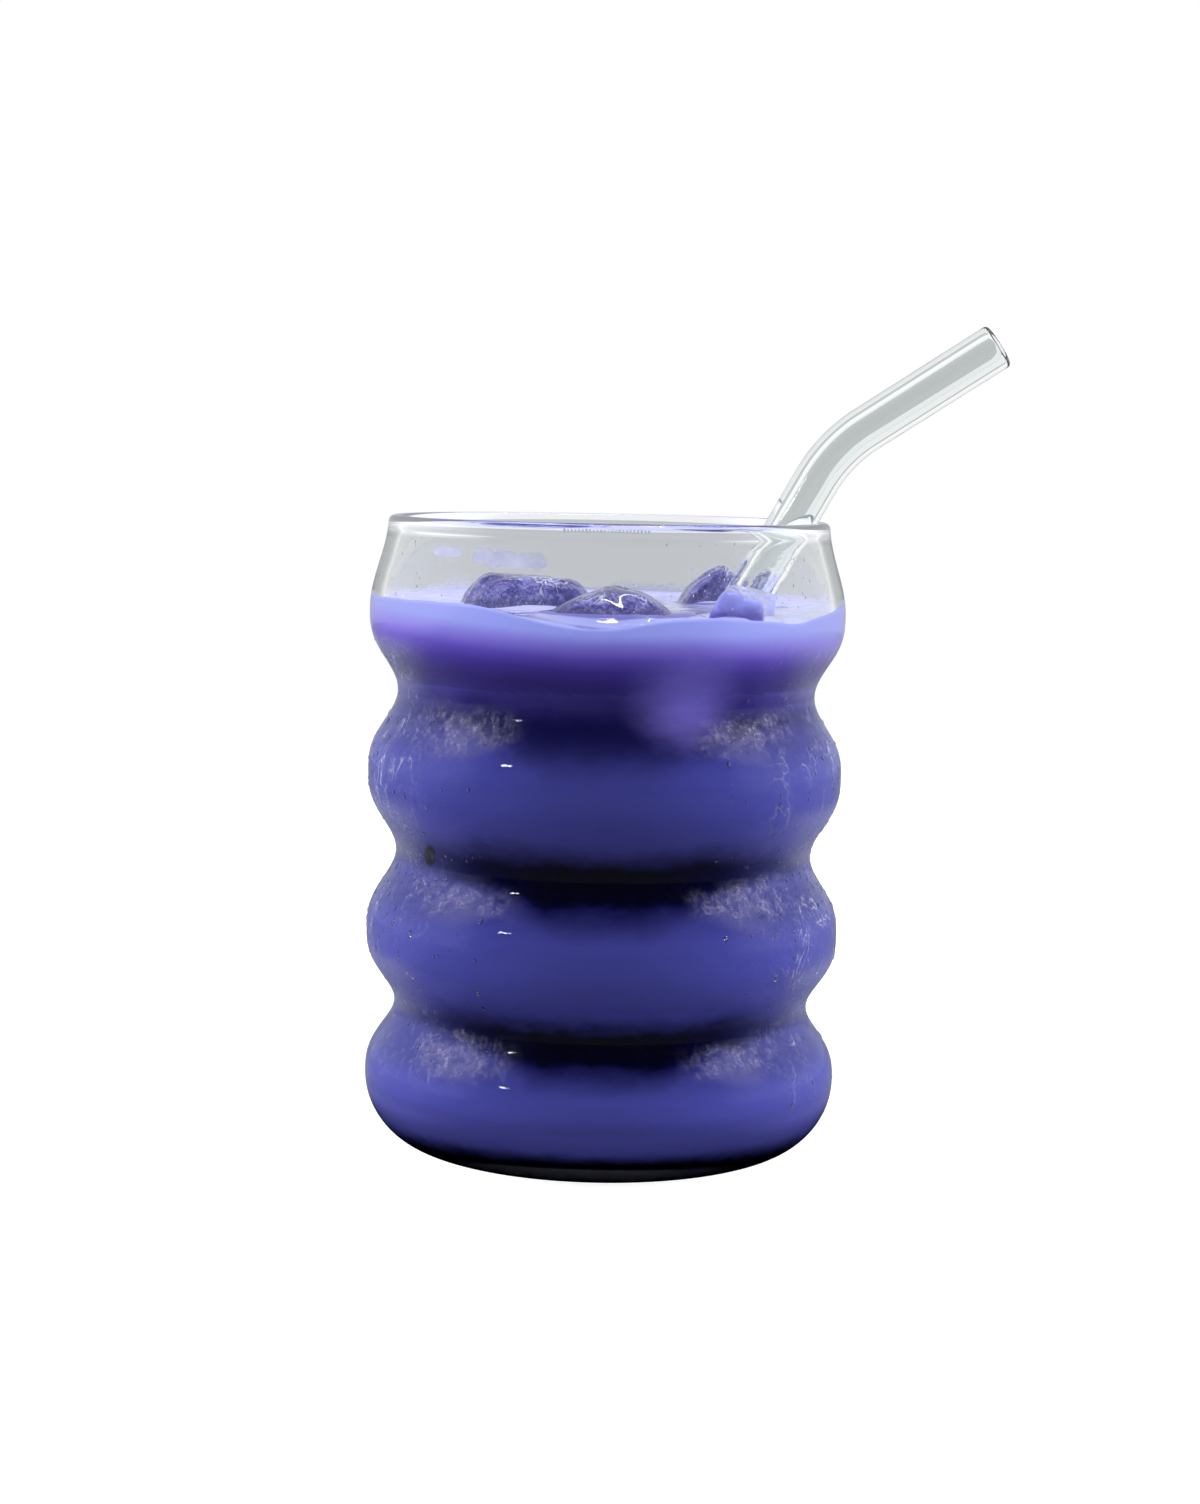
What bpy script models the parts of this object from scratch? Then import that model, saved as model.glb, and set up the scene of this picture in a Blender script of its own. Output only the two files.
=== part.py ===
# Rippled glass tumbler of taro tea with ice and a bent glass straw.
# Metres, +Z up. The origin is the middle of the foot, on the surface that the tumbler stands on.
import math
import random

import bmesh
import bpy
from mathutils import Matrix, Vector

# Tumbler: four round bulges with three waists, and a plain neck that narrows to the rim.
CUP_HEIGHT = 0.1095
BULGE_RADIUS = 0.0414
WAIST_RADIUS = 0.0364
RIM_RADIUS = 0.0383
FOOT_RADIUS = 0.0325
BULGE_HEIGHTS = (0.0118, 0.0372, 0.0652, 0.0933)
WALL = 0.0023
BASE_THICKNESS = 0.005
FLOOR_RADIUS = 0.028
TURN_STEPS = 36
RIPPLE_STEPS = 4
# A power over 1 makes the bulges broader than the waists.
RIPPLE_POWER = 1.5
FOOT_POWER = 0.62

# Drink: filled to just above the widest ring of the top bulge.
DRINK_LEVEL = 0.0946
GAP = 0.0003

# Straw: a glass tube that leans on the right of the rim and bends over it.
STRAW_RADIUS = 0.004
STRAW_WALL = 0.0018
STRAW_SIDES = 16
STRAW_LEAN = math.radians(61.0)
STRAW_END_CLEARANCE = 0.0008
STRAW_NECK_ABOVE_RIM = 0.0139
STRAW_BEND_RADIUS = 0.024
STRAW_BEND_STEPS = 6
STRAW_TIP_LENGTH = 0.0332
STRAW_TIP_RISE = math.radians(34.0)
STRAW_TIP_FORWARD = math.radians(13.0)
STRAW_END_ROUNDING = 0.0006

# Ice: centre, size, turn about X, Y and Z in degrees, and the seed of its uneven corners.
ICE = {
    "ice_left": ((-0.0141, -0.0055, 0.0915), (0.0225, 0.0165, 0.0152), (0, 4, 6), 3),
    "ice_middle": ((0.0016, -0.0260, 0.0905), (0.0265, 0.0175, 0.0166), (-6, 3, -3), 8),
    "ice_right": ((0.0182, 0.0150, 0.0938), (0.0090, 0.0100, 0.0150), (0, 30, 6), 5),
    "ice_small": ((0.0276, 0.0080, 0.0962), (0.0054, 0.0048, 0.0080), (8, 8, 0), 11),
    "ice_slab": ((0.0213, -0.0205, 0.0909), (0.0095, 0.0150, 0.0145), (5, 14, -12), 21),
}
ICE_UNEVENNESS = 0.09
ICE_CLEARANCE = 0.0004

GLASS_COLOUR = (0.82, 0.85, 0.86)
DRINK_COLOUR = (0.16, 0.13, 0.55)
ICE_COLOUR = (0.45, 0.42, 0.78)


def clear_scene():
    for item in list(bpy.data.objects):
        bpy.data.objects.remove(item, do_unlink=True)


def new_collection(name):
    group = bpy.data.collections.new(name)
    bpy.context.scene.collection.children.link(group)
    return group


def new_material(name, colour, roughness, alpha=1.0, transmission=0.0):
    material = bpy.data.materials.new(name)
    material.use_nodes = True
    shader = material.node_tree.nodes["Principled BSDF"]
    shader.inputs["Base Color"].default_value = (*colour, 1.0)
    shader.inputs["Roughness"].default_value = roughness
    shader.inputs["Metallic"].default_value = 0.0
    shader.inputs["Alpha"].default_value = alpha
    shader.inputs["Transmission Weight"].default_value = transmission
    return material


def add_object(name, mesh, group, material=None):
    item = bpy.data.objects.new(name, mesh)
    group.objects.link(item)
    if material is not None:
        mesh.materials.append(material)
    return item


def mark_as_cutter(item):
    item.hide_render = True
    item.display_type = "WIRE"


def swell(share, power):
    # Goes smoothly from 1 at the widest ring to 0 at the narrowest one.
    dip = (1.0 - math.cos(math.pi * share)) / 2.0
    return 1.0 - dip ** power


def outer_radius(height):
    # Radius of the outside of the tumbler at a height between the foot and the rim.
    lowest, highest = BULGE_HEIGHTS[0], BULGE_HEIGHTS[-1]
    if height <= lowest:
        share = (lowest - height) / lowest
        return FOOT_RADIUS + (BULGE_RADIUS - FOOT_RADIUS) * (1.0 - share * share) ** FOOT_POWER
    if height >= highest:
        share = (height - highest) / (CUP_HEIGHT - highest)
        return RIM_RADIUS + (BULGE_RADIUS - RIM_RADIUS) * swell(share, 1.0)
    for below, above in zip(BULGE_HEIGHTS, BULGE_HEIGHTS[1:]):
        if height <= above:
            half = (above - below) / 2.0
            share = min(height - below, above - height) / half
            return WAIST_RADIUS + (BULGE_RADIUS - WAIST_RADIUS) * swell(share, RIPPLE_POWER)


def ripple_heights():
    # Ring heights from the lowest bulge to the highest one, closer together at each waist.
    heights = [BULGE_HEIGHTS[0]]
    for below, above in zip(BULGE_HEIGHTS, BULGE_HEIGHTS[1:]):
        for half in (0, 1):
            for step in range(1, RIPPLE_STEPS + 1):
                share = (half + step / RIPPLE_STEPS) / 2.0
                heights.append(below + (above - below) * share)
    return heights


def arc(centre, radii, start, end, steps):
    # Points of an elliptical arc in the profile plane, from start to end in degrees.
    points = []
    for step in range(steps + 1):
        angle = math.radians(start + (end - start) * step / steps)
        across = centre[0] + radii[0] * math.cos(angle)
        up = centre[1] + radii[1] * math.sin(angle)
        points.append((across, up))
    return points


def inner_wall(gap, top):
    # Points up the inside from the middle of the floor to a height, drawn in by a gap.
    lowest = BULGE_HEIGHTS[0]
    floor = BASE_THICKNESS + gap
    side = outer_radius(lowest) - WALL - gap
    points = [(0.0, floor)]
    points += arc((FLOOR_RADIUS, lowest), (side - FLOOR_RADIUS, lowest - floor), -90, 0, 4)
    for height in ripple_heights()[1:]:
        points.append((outer_radius(height) - WALL - gap, height))
    steps = 3
    last = BULGE_HEIGHTS[-1]
    if top - last < 0.002:
        steps = 1
    for step in range(1, steps + 1):
        height = last + (top - last) * step / steps
        points.append((outer_radius(height) - WALL - gap, height))
    return points


def turned_object(name, points, group, material):
    # A profile in the XZ plane, turned once about Z.
    verts = [(across, 0.0, up) for across, up in points]
    edges = [(i, i + 1) for i in range(len(verts) - 1)]
    mesh = bpy.data.meshes.new(name)
    mesh.from_pydata(verts, edges, [])
    item = add_object(name, mesh, group, material)
    turn = item.modifiers.new("Turn", "SCREW")
    turn.axis = "Z"
    turn.angle = 2.0 * math.pi
    turn.steps = TURN_STEPS
    turn.render_steps = TURN_STEPS
    turn.use_merge_vertices = True
    turn.merge_threshold = 0.00001
    turn.use_smooth_shade = True
    return item


def make_cup(group):
    glass = new_material("cup_glass", GLASS_COLOUR, 0.04, 0.35, 1.0)
    lip = WALL / 2.0
    shoulder = CUP_HEIGHT - lip
    inside = inner_wall(0.0, shoulder)
    lip_middle = (outer_radius(shoulder) - lip, shoulder)
    over_lip = arc(lip_middle, (lip, lip), 180, 0, 4)
    outside = []
    highest, lowest = BULGE_HEIGHTS[-1], BULGE_HEIGHTS[0]
    for share in (0.72, 0.4):
        height = highest + (shoulder - highest) * share
        outside.append((outer_radius(height), height))
    for height in reversed(ripple_heights()):
        outside.append((outer_radius(height), height))
    for share in (0.6, 0.3, 0.1, 0.0):
        outside.append((outer_radius(lowest * share), lowest * share))
    outside.append((0.0, 0.0))
    return turned_object("cup", inside[:-1] + over_lip + outside, group, glass)


def straw_directions():
    lower = Vector((math.cos(STRAW_LEAN), 0.0, math.sin(STRAW_LEAN)))
    level = math.cos(STRAW_TIP_FORWARD)
    upper = Vector((
        level * math.cos(STRAW_TIP_RISE),
        -math.sin(STRAW_TIP_FORWARD),
        level * math.sin(STRAW_TIP_RISE),
    ))
    return lower, upper


def straw_path(extra):
    # Middle line of the straw: the straight leg, the bend as an arc and the straight tip.
    lower, upper = straw_directions()
    lip_height = CUP_HEIGHT - WALL / 2.0
    lip_radius = outer_radius(lip_height) - WALL
    reach = (STRAW_RADIUS + GAP) / math.sin(STRAW_LEAN)
    at_rim = Vector((lip_radius - reach, 0.0, lip_height))
    end_height = BASE_THICKNESS + STRAW_END_CLEARANCE + STRAW_RADIUS * math.cos(STRAW_LEAN)
    start = at_rim - lower * ((at_rim.z - end_height) / lower.z)
    corner = at_rim + lower * (STRAW_NECK_ABOVE_RIM / lower.z)
    turn = lower.angle(upper)
    tangent = STRAW_BEND_RADIUS * math.tan(turn / 2.0)
    inward = (upper - lower * lower.dot(upper)).normalized()
    bend_start = corner - lower * tangent
    points = [start - lower * extra]
    for step in range(STRAW_BEND_STEPS + 1):
        angle = turn * step / STRAW_BEND_STEPS
        along = lower * (STRAW_BEND_RADIUS * math.sin(angle))
        across = inward * (STRAW_BEND_RADIUS * (1.0 - math.cos(angle)))
        points.append(bend_start + along + across)
    points.append(corner + upper * (STRAW_TIP_LENGTH + extra))
    return points


def tube_mesh(name, points, radius):
    # An open tube: a curve with a round bevel, turned into a mesh.
    curve = bpy.data.curves.new(name + "_line", "CURVE")
    curve.dimensions = "3D"
    curve.bevel_depth = radius
    curve.bevel_resolution = STRAW_SIDES // 2 - 2
    curve.use_fill_caps = False
    spline = curve.splines.new("POLY")
    spline.points.add(len(points) - 1)
    for spot, point in zip(spline.points, points):
        spot.co = (*point, 1.0)
    guide = bpy.data.objects.new(name + "_line", curve)
    bpy.context.scene.collection.objects.link(guide)
    graph = bpy.context.evaluated_depsgraph_get()
    mesh = bpy.data.meshes.new_from_object(guide.evaluated_get(graph))
    mesh.name = name
    bpy.data.objects.remove(guide, do_unlink=True)
    bpy.data.curves.remove(curve)
    return mesh


def hollow_tube(name, group, grow, material=None):
    mesh = tube_mesh(name, straw_path(grow), STRAW_RADIUS + grow)
    mesh.shade_smooth()
    mesh.set_sharp_from_angle(angle=math.radians(50))
    item = add_object(name, mesh, group, material)
    wall = item.modifiers.new("Wall", "SOLIDIFY")
    wall.thickness = STRAW_WALL + 2.0 * grow
    wall.offset = -1.0
    return item


def make_straw(group):
    glass = new_material("straw_glass", GLASS_COLOUR, 0.03, 0.35, 1.0)
    straw = hollow_tube("straw", group, 0.0, glass)
    rounding = straw.modifiers.new("Fire polish", "BEVEL")
    rounding.width = STRAW_END_ROUNDING
    rounding.segments = 2
    rounding.limit_method = "ANGLE"
    rounding.angle_limit = math.radians(60)
    return straw


def ice_lump(name, group, grow, material=None):
    # A block with uneven corners, softened by subdivision.
    centre, size, turns, seed = ICE[name]
    draw = random.Random(seed)
    shape = bmesh.new()
    bmesh.ops.create_cube(shape, size=1.0)
    bmesh.ops.subdivide_edges(shape, edges=shape.edges[:], cuts=1, use_grid_fill=True)
    for vert in shape.verts:
        for axis in range(3):
            shift = draw.uniform(-ICE_UNEVENNESS, ICE_UNEVENNESS) * min(size)
            vert.co[axis] = vert.co[axis] * (size[axis] + 2.0 * grow) + shift
    place = Matrix.Translation(centre)
    for axis, turn in zip("XYZ", turns):
        place = place @ Matrix.Rotation(math.radians(turn), 4, axis)
    bmesh.ops.transform(shape, matrix=place, verts=shape.verts[:])
    mesh = bpy.data.meshes.new(name)
    shape.to_mesh(mesh)
    shape.free()
    mesh.shade_smooth()
    item = add_object(name, mesh, group, material)
    soften = item.modifiers.new("Soften", "SUBSURF")
    soften.levels = 1
    soften.render_levels = 1
    return item


def make_ice(group):
    frozen = new_material("ice", ICE_COLOUR, 0.08, 0.7, 0.6)
    for name in ICE:
        ice_lump(name, group, 0.0, frozen)


def make_drink(group, cutters):
    # Fills the inside up to its level, and leaves room for the ice and the wall of the straw.
    tea = new_material("taro_tea", DRINK_COLOUR, 0.12)
    points = inner_wall(GAP, DRINK_LEVEL)
    points.append((0.0, DRINK_LEVEL))
    drink = turned_object("drink", points, group, tea)
    for name in ICE:
        hollow = ice_lump(name, cutters, ICE_CLEARANCE)
        hollow.name = name + "_hollow"
        mark_as_cutter(hollow)
    mark_as_cutter(hollow_tube("straw_hollow", cutters, GAP))
    cut = drink.modifiers.new("Room for ice and straw", "BOOLEAN")
    cut.operation = "DIFFERENCE"
    cut.operand_type = "COLLECTION"
    cut.collection = cutters
    return drink


def main():
    clear_scene()
    group = new_collection("taro_tea_tumbler")
    cutters = new_collection("cutters")
    make_cup(group)
    make_ice(group)
    make_straw(group)
    make_drink(group, cutters)


main()
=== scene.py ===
# Iced taro tea in a rippled glass, dressed for a studio picture.
# Metres, +Z up, the glass stands on z = 0 and is seen from -Y.
import math

import bpy
import numpy as np
from mathutils import Matrix, Vector


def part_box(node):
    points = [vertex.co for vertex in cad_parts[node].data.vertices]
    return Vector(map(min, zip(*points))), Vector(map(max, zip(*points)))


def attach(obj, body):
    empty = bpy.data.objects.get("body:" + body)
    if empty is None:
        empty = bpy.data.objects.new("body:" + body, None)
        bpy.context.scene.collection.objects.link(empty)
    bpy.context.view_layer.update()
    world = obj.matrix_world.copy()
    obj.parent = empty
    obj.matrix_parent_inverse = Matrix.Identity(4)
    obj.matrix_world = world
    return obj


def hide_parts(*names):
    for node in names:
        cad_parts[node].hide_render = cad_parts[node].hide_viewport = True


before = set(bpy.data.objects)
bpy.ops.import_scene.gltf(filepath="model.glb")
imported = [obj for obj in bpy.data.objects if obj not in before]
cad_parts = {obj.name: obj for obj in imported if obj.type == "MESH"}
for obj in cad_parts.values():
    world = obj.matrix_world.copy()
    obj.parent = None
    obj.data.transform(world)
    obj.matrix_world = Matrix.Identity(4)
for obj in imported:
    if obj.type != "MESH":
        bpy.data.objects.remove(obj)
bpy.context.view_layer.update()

mm = 0.001

# The tumbler's own sizes, as its solids have them.
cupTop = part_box("cup")[1]
tumbler = {
    "height": cupTop.z,
    "bulgeRadius": cupTop.x,
    "waistRadius": 36.4 * mm,
    "rimRadius": 38.3 * mm,
    "footRadius": 32.5 * mm,
    "bulgeHeights": (11.8 * mm, 37.2 * mm, 65.2 * mm, 93.3 * mm),
    "wall": 2.3 * mm,
    "base": 5.0 * mm,
    "floorRadius": 28.0 * mm,
    "ripplePower": 1.5,
    "footPower": 0.62,
}
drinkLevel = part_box("drink")[1].z


class Wire:
    # one output socket of a material; arithmetic on it adds Math nodes
    def __init__(self, finish, socket):
        self.finish = finish
        self.socket = socket

    def calc(self, operation, other=None, swapped=False, clamp=False):
        first, second = (other, self) if swapped else (self, other)
        inputs = {0: first}
        if second is not None:
            inputs[1] = second
        settings = {"operation": operation, "use_clamp": clamp}
        return self.finish.node("ShaderNodeMath", settings, inputs)

    def __add__(self, other):
        return self.calc("ADD", other)

    __radd__ = __add__

    def __sub__(self, other):
        return self.calc("SUBTRACT", other)

    def __rsub__(self, other):
        return self.calc("SUBTRACT", other, swapped=True)

    def __mul__(self, other):
        return self.calc("MULTIPLY", other)

    __rmul__ = __mul__

    def __truediv__(self, other):
        return self.calc("DIVIDE", other)

    def __pow__(self, other):
        return self.calc("POWER", other)

    def __abs__(self):
        return self.calc("ABSOLUTE")

    def clamped(self):
        return self.calc("ADD", 0.0, clamp=True)


class Finish:
    # a material, or the world, under construction: every node comes from node()
    def __init__(self, name, world=None):
        self.material = world or bpy.data.materials.new(name)
        self.material.use_nodes = True
        self.tree = self.material.node_tree
        self.tree.nodes.clear()

    def node(self, kind, settings=None, sockets=None, output=0):
        # settings first, then the values or links of its sockets
        made = self.tree.nodes.new(kind)
        for key, value in (settings or {}).items():
            if key == "stops":
                self.setStops(made.color_ramp, value)
            else:
                setattr(made, key, value)
        for key, value in (sockets or {}).items():
            if isinstance(value, Wire):
                self.tree.links.new(value.socket, made.inputs[key])
            else:
                made.inputs[key].default_value = value
        return Wire(self, made.outputs[output]) if len(made.outputs) else made

    def setStops(self, ramp, stops):
        # colours of a ramp at their places from 0 to 1
        while len(ramp.elements) > 1:
            ramp.elements.remove(ramp.elements[-1])
        for index, (place, colour) in enumerate(stops):
            element = ramp.elements[0] if index == 0 else ramp.elements.new(place)
            element.position = place
            element.color = (*colour, 1.0)

    def place(self, kind="Object"):
        # a texture coordinate, whole and as three wires: across, along and up
        spot = self.node("ShaderNodeTexCoord", output=kind)
        split = self.node("ShaderNodeSeparateXYZ", None, {0: spot})
        return spot, *[Wire(self, output) for output in split.socket.node.outputs]

    def carriedValue(self, name):
        # a number that the piece's own points carry
        return self.node("ShaderNodeAttribute", {"attribute_name": name}, output="Fac")

    def stretched(self, spot, scale):
        return self.node("ShaderNodeMapping", None, {0: spot, "Scale": scale})

    def noise(self, spot, scale, detail=3.0, roughness=0.5, distortion=0.0):
        sockets = {"Vector": spot, "Scale": scale, "Detail": detail,
                   "Roughness": roughness, "Distortion": distortion}
        return self.node("ShaderNodeTexNoise", None, sockets)

    def cells(self, spot, scale):
        # distance to the nearest of a cloud of scattered points
        sockets = {"Vector": spot, "Scale": scale}
        return self.node("ShaderNodeTexVoronoi", None, sockets, "Distance")

    def ease(self, value, low, high):
        # 0 below low, 1 above high, with soft ends; falls where low is over high
        sockets = {"Value": value, "From Min": low, "From Max": high}
        return self.node("ShaderNodeMapRange", {"interpolation_type": "SMOOTHSTEP"}, sockets)

    def mixColour(self, mask, first, second, how="MIX"):
        # the first colour where the mask is 0, the second where it is 1
        def full(colour):
            return colour if isinstance(colour, Wire) else (*colour, 1.0)
        settings = {"data_type": "RGBA", "blend_type": how}
        return self.node("ShaderNodeMix", settings, {0: mask, 6: full(first), 7: full(second)}, 2)

    def bump(self, height, distance, strength=1.0):
        sockets = {"Height": height, "Distance": distance, "Strength": strength}
        return self.node("ShaderNodeBump", None, sockets)

    def principled(self, sockets):
        values = {}
        for key, value in sockets.items():
            plain = key in ("Base Color", "Emission Color") and not isinstance(value, Wire)
            values[key] = (*value, 1.0) if plain else value
        return self.node("ShaderNodeBsdfPrincipled", None, values)

    def clearShadow(self, shader, tint):
        # light passes on through the glass, so that what stands behind it is lit
        ray = self.node("ShaderNodeLightPath", output="Is Shadow Ray")
        clear = self.node("ShaderNodeBsdfTransparent", None, {0: (*tint, 1.0)})
        return self.node("ShaderNodeMixShader", None, {0: ray, 1: shader, 2: clear})

    def done(self, shader):
        self.node("ShaderNodeOutputMaterial", None, {0: shader})
        return self.material


# Shared shapes
def swell(share, power):
    # goes smoothly from 1 at the widest ring to 0 at the narrowest: 1 - ((1 - cos) / 2) ^ power
    return 1.0 - ((1.0 - np.cos(math.pi * share)) / 2.0) ** power


def outerRadius(height):
    # outside radius at each height: foot curve, ripples between the bulges, and the neck
    heights = np.array(tumbler["bulgeHeights"])
    height = np.asarray(height, float)
    low, high = heights[0], heights[-1]
    bulge, waist = tumbler["bulgeRadius"], tumbler["waistRadius"]
    index = np.clip(np.searchsorted(heights, height) - 1, 0, len(heights) - 2)
    below, above = heights[index], heights[index + 1]
    share = np.clip(np.minimum(height - below, above - height) / ((above - below) / 2), 0, 1)
    radius = waist + (bulge - waist) * swell(share, tumbler["ripplePower"])
    footShare = np.clip((low - height) / low, 0, 1)
    footCurve = (1.0 - footShare ** 2) ** tumbler["footPower"]
    foot = tumbler["footRadius"] + (bulge - tumbler["footRadius"]) * footCurve
    neckShare = np.clip((height - high) / (tumbler["height"] - high), 0, 1)
    neck = tumbler["rimRadius"] + (bulge - tumbler["rimRadius"]) * swell(neckShare, 1.0)
    return np.where(height < low, foot, np.where(height > high, neck, radius))


def innerRadius(height):
    # inside radius: the outside less the wall, and an elliptical corner down to the floor
    low = tumbler["bulgeHeights"][0]
    side = float(outerRadius(low)) - tumbler["wall"]
    height = np.asarray(height, float)
    share = np.clip((low - height) / (low - tumbler["base"]), 0, 1)
    corner = tumbler["floorRadius"] + (side - tumbler["floorRadius"]) * np.sqrt(1 - share ** 2)
    return np.where(height < low, corner, outerRadius(height) - tumbler["wall"])


def gridFaces(rows, columns, wrapRows=False, wrapColumns=True):
    # quads of a grid of points stored row by row
    rowIndex = np.arange(rows if wrapRows else rows - 1)
    columnIndex = np.arange(columns if wrapColumns else columns - 1)
    row, column = np.meshgrid(rowIndex, columnIndex, indexing="ij")
    nextRow = (row + 1) % rows
    nextColumn = (column + 1) % columns
    corners = (row * columns + column, row * columns + nextColumn,
               nextRow * columns + nextColumn, nextRow * columns + column)
    return np.stack(corners, axis=-1).reshape(-1, 4)


def fullTurn(columns):
    # equal steps of angle once round
    return np.linspace(0, 2 * math.pi, columns, endpoint=False)


def meshPiece(name, points, faces, material, values=None):
    # numpy points and faces (quads or triangles) into a smooth mesh object at the origin;
    # values holds one number per point for each named attribute
    mesh = bpy.data.meshes.new(name)
    points = np.ascontiguousarray(points, dtype=np.float32).reshape(-1, 3)
    faces = np.ascontiguousarray(faces, dtype=np.int32)
    corners = faces.shape[1]
    mesh.vertices.add(len(points))
    mesh.vertices.foreach_set("co", points.ravel())
    mesh.loops.add(faces.size)
    mesh.loops.foreach_set("vertex_index", faces.ravel())
    mesh.polygons.add(len(faces))
    mesh.polygons.foreach_set("loop_start", np.arange(0, faces.size, corners, dtype=np.int32))
    mesh.polygons.foreach_set("use_smooth", np.ones(len(faces), bool))
    for key, numbers in (values or {}).items():
        layer = mesh.attributes.new(key, "FLOAT", "POINT")
        layer.data.foreach_set("value", np.asarray(numbers, np.float32).ravel())
    mesh.update(calc_edges=True)
    mesh.validate()
    mesh.materials.append(material)
    piece = bpy.data.objects.new(name, mesh)
    bpy.context.scene.collection.objects.link(piece)
    return piece


def turnedPoints(radius, height, angles):
    # every profile point turned round Z: rows follow the profile, columns the angle
    around = np.stack([np.cos(angles), np.sin(angles), np.zeros_like(angles)], axis=-1)
    points = radius[:, None, None] * around[None]
    points[..., 2] = height[:, None]
    return points


def cappedFaces(rows, columns, lastPole=True):
    # triangles of a grid wound round Z, closed by a pole point before it and one after it,
    # which follow the grid's own points
    faces = gridFaces(rows, columns)
    column = np.arange(columns)
    after = (column + 1) % columns
    pole = np.full(columns, rows * columns)
    fans = [np.stack([pole, after, column], axis=-1)]
    if lastPole:
        base = (rows - 1) * columns
        fans.append(np.stack([base + column, base + after, pole + 1], axis=-1))
    return np.concatenate([faces[:, [0, 1, 2]], faces[:, [0, 2, 3]], *fans])


def turnOutward(piece):
    # a closed shape with a negative volume is inside out, so its faces are flipped
    mesh = piece.data
    mesh.calc_loop_triangles()
    corners = np.zeros(len(mesh.loop_triangles) * 3, np.int32)
    mesh.loop_triangles.foreach_get("vertices", corners)
    spots = np.zeros(len(mesh.vertices) * 3, np.float32)
    mesh.vertices.foreach_get("co", spots)
    a, b, c = spots.reshape(-1, 3)[corners.reshape(-1, 3)].astype(float).transpose(1, 0, 2)
    if np.einsum("ij,ij->i", a, np.cross(b, c)).sum() < 0:
        mesh.flip_normals()


def carried(name, *nodes, slot="glass"):
    # the piece rides on the one body and stands for its nodes; its slot is not used
    piece = bpy.data.objects[name]
    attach(piece, "root")
    if nodes:
        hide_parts(*nodes)


# Glass
glassLook = {
    "tint": (0.972, 0.979, 0.976),
    "ior": 1.46,
    # painted glow: emission at the lip's two ends that stands in for light
    "lipPaintedGlow": (0.155, 0.157, 0.170),   # light that the thick lip gathers at its two ends
    "roughness": 0.008,
    "wavesPerMetre": 60.0,
    "waveDepth": 0.045,       # mm
    "grainDepth": 0.055,      # mm, fine water on the outside
    "beadDepth": 0.20 * mm,   # how far the lip's bead stands in from the wall
    "beadHeight": 2.1 * mm,
}


def glassFinish():
    # clear glass with the slow waves of a blown wall, wet at its sides, with a painted glow at the
    # lip's ends
    finish = Finish("rippledGlass")
    spot, across, along, up = finish.place()
    slow = finish.noise(spot, glassLook["wavesPerMetre"], 2.0)
    grain = finish.noise(spot, 1150.0, 4.0, 0.7)
    patches = finish.ease(finish.noise(spot, 80.0, 4.0, 0.6), 0.36, 0.58)
    wet = finish.ease(abs(across), 12 * mm, 30 * mm) * patches
    wet = wet * (1.0 - finish.ease(up, 82 * mm, 90 * mm))
    # painted glow where the lip ends at the left and right
    lipGlowMask = finish.ease(up, 106.9 * mm, 108.3 * mm) * finish.ease(abs(across), 18 * mm, 33 * mm)
    shader = finish.principled({
        "Base Color": glassLook["tint"],
        "Emission Color": finish.mixColour(lipGlowMask, (0, 0, 0), glassLook["lipPaintedGlow"]),
        "Emission Strength": 1.0,
        "Roughness": glassLook["roughness"],
        "IOR": glassLook["ior"],
        "Transmission Weight": 1.0,
        "Normal": finish.bump(
            slow * glassLook["waveDepth"] + grain * wet * glassLook["grainDepth"], mm),
    })
    return finish.done(finish.clearShadow(shader, glassLook["tint"]))


def makeCup(material):
    # one profile from the middle of the floor up the inside, over the lip and down the outside
    wall = tumbler["wall"]
    lip = wall / 2
    low = tumbler["bulgeHeights"][0]
    shoulder = tumbler["height"] - lip
    corner = np.linspace(-math.pi / 2, 0, 22)
    side = float(innerRadius(low))
    floorAcross = np.linspace(4 * mm, tumbler["floorRadius"], 7)[:-1]
    cornerAcross = tumbler["floorRadius"] + (side - tumbler["floorRadius"]) * np.cos(corner)
    cornerUp = low + (low - tumbler["base"]) * np.sin(corner)
    insideUp = np.linspace(low, shoulder, 120)[1:]
    turn = np.linspace(math.pi, 0, 14)[1:-1]
    lipMiddle = float(outerRadius(shoulder)) - lip
    outsideUp = np.linspace(shoulder, low, 120)
    footUp = low * np.linspace(1, 0, 24)[1:] ** 1.6
    footAcross = np.linspace(tumbler["footRadius"], 4 * mm, 8)[1:]
    beadShare = np.clip((shoulder - insideUp) / glassLook["beadHeight"], 0, 1)
    bead = glassLook["beadDepth"] * np.sin(math.pi * beadShare) ** 2
    radius = np.concatenate([
        floorAcross, cornerAcross, innerRadius(insideUp) - bead, lipMiddle + lip * np.cos(turn),
        outerRadius(outsideUp), outerRadius(footUp), footAcross])
    height = np.concatenate([
        np.full(len(floorAcross), tumbler["base"]), cornerUp, insideUp,
        shoulder + lip * np.sin(turn), outsideUp, footUp, np.zeros(len(footAcross))])
    columns = 160
    points = turnedPoints(radius, height, fullTurn(columns)).reshape(-1, 3)
    poles = np.array([[0, 0, tumbler["base"]], [0, 0, 0]])
    faces = cappedFaces(len(radius), columns)
    turnOutward(meshPiece("cupGlass", np.concatenate([points, poles]), faces, material))
    carried("cupGlass", "cup")


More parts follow.
